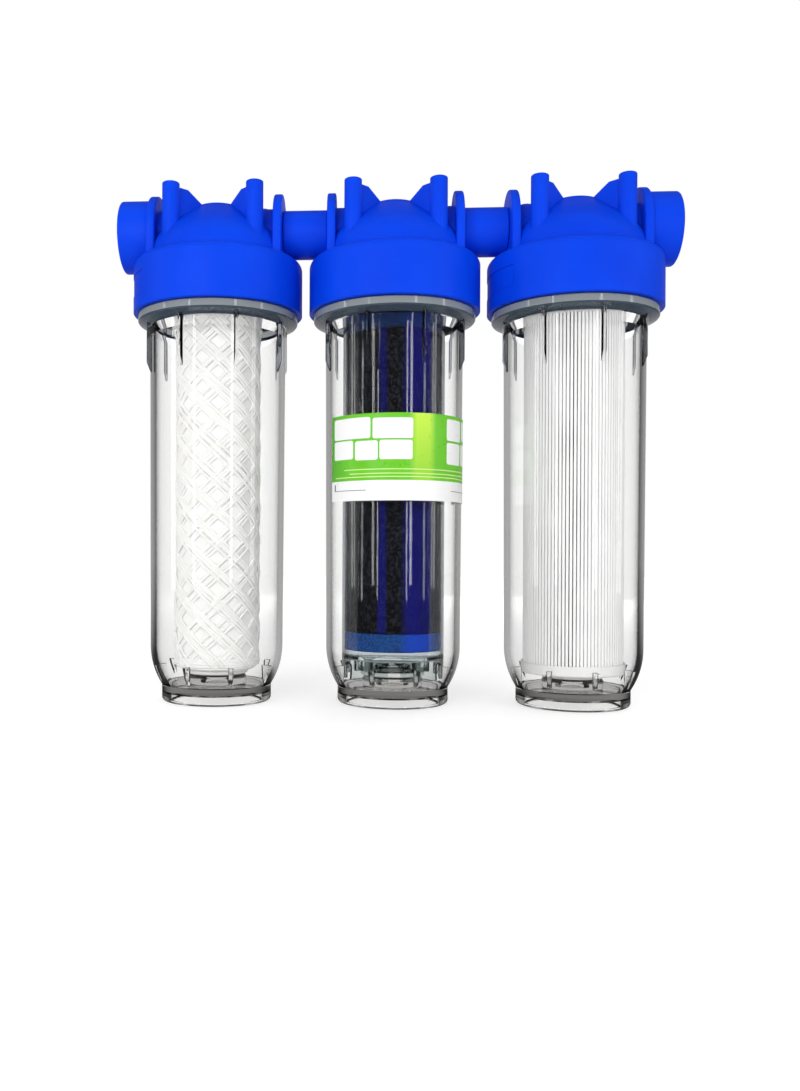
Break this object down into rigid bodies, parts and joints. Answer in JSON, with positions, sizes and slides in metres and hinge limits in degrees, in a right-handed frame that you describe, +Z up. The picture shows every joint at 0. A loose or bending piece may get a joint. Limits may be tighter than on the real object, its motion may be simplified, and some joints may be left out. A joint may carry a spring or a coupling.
{
  "type": "in-line water filter",
  "caption": "Row of filter housings joined in line: blue heads with screw posts over clear screw-on bowls, with wound, granular carbon and pleated cartridges inside.",
  "frame": {"origin": "on the floor plane under the bowls' feet, in the middle of the row", "axes": "+X along the row towards the outlet end, +Y to the back, +Z up along the bowls' axes"},
  "size_m": [0.3868, 0.12, 0.3595],
  "materials": {
    "blue_polypropylene": "satin",
    "clear_bowl": "gloss",
    "black_rubber": "matte",
    "white_gasket": "matte",
    "core_plastic": "matte",
    "wound_yarn": "matte",
    "canister_plastic": "gloss",
    "canister_end_plastic": "gloss",
    "carbon_granules": "matte",
    "blue_foam": "matte",
    "white_cap_plastic": "satin",
    "pleated_sheet": "matte",
    "label_film": "satin"
  },
  "bodies": {
    "heads": {"head_inlet": "blue_polypropylene", "head_middle": "blue_polypropylene", "head_outlet": "blue_polypropylene", "connector_1": "blue_polypropylene", "connector_2": "blue_polypropylene"},
    "cartridge_1": {"core_1": "core_plastic", "wound_media_1": "wound_yarn", "yarn_1": "wound_yarn", "gasket_low_1": "white_gasket", "gasket_top_1": "white_gasket"},
    "ring_1": {"bowl_o_ring_1": "black_rubber"},
    "bowl_1": {"bowl_1": "clear_bowl"},
    "cartridge_2": {"canister_2": "canister_plastic", "canister_foot_2": "canister_end_plastic", "canister_cap_2": "canister_end_plastic", "foam_low_2": "blue_foam", "carbon_2": "carbon_granules", "foam_top_2": "blue_foam", "gasket_low_2": "white_gasket", "gasket_top_2": "white_gasket"},
    "ring_2": {"bowl_o_ring_2": "black_rubber"},
    "bowl_2": {"bowl_2": "clear_bowl", "label_2": "label_film"},
    "cartridge_3": {"core_3": "core_plastic", "pleats_3": "pleated_sheet", "end_cap_low_3": "white_cap_plastic", "end_cap_top_3": "white_cap_plastic", "gasket_low_3": "white_gasket", "gasket_top_3": "white_gasket"},
    "ring_3": {"bowl_o_ring_3": "black_rubber"},
    "bowl_3": {"bowl_3": "clear_bowl"}
  },
  "joints": [
    {"name": "lower_1", "type": "slide", "parent": "heads", "child": "cartridge_1", "axis": [0, 0, -1], "range_m": [0, 0.05]},
    {"name": "thread_1", "type": "slide", "parent": "cartridge_1", "child": "ring_1", "axis": [0, 0, -1], "range_m": [0, 0.0125]},
    {"name": "turn_1", "type": "hinge", "parent": "ring_1", "child": "bowl_1", "pos_m": [-0.1254, 0, 0], "axis": [0, 0, -1], "range_deg": [0, 900]},
    {"name": "lower_2", "type": "slide", "parent": "heads", "child": "cartridge_2", "axis": [0, 0, -1], "range_m": [0, 0.05]},
    {"name": "thread_2", "type": "slide", "parent": "cartridge_2", "child": "ring_2", "axis": [0, 0, -1], "range_m": [0, 0.0125]},
    {"name": "turn_2", "type": "hinge", "parent": "ring_2", "child": "bowl_2", "pos_m": [0, 0, 0], "axis": [0, 0, -1], "range_deg": [0, 900]},
    {"name": "lower_3", "type": "slide", "parent": "heads", "child": "cartridge_3", "axis": [0, 0, -1], "range_m": [0, 0.05]},
    {"name": "thread_3", "type": "slide", "parent": "cartridge_3", "child": "ring_3", "axis": [0, 0, -1], "range_m": [0, 0.0125]},
    {"name": "turn_3", "type": "hinge", "parent": "ring_3", "child": "bowl_3", "pos_m": [0.1254, 0, 0], "axis": [0, 0, -1], "range_deg": [0, 900]}
  ],
  "couplings": [
    {"joint": "thread_1", "follows": "turn_1", "m_per_rad": 0.00079577},
    {"joint": "thread_2", "follows": "turn_2", "m_per_rad": 0.00079577},
    {"joint": "thread_3", "follows": "turn_3", "m_per_rad": 0.00079577}
  ]
}
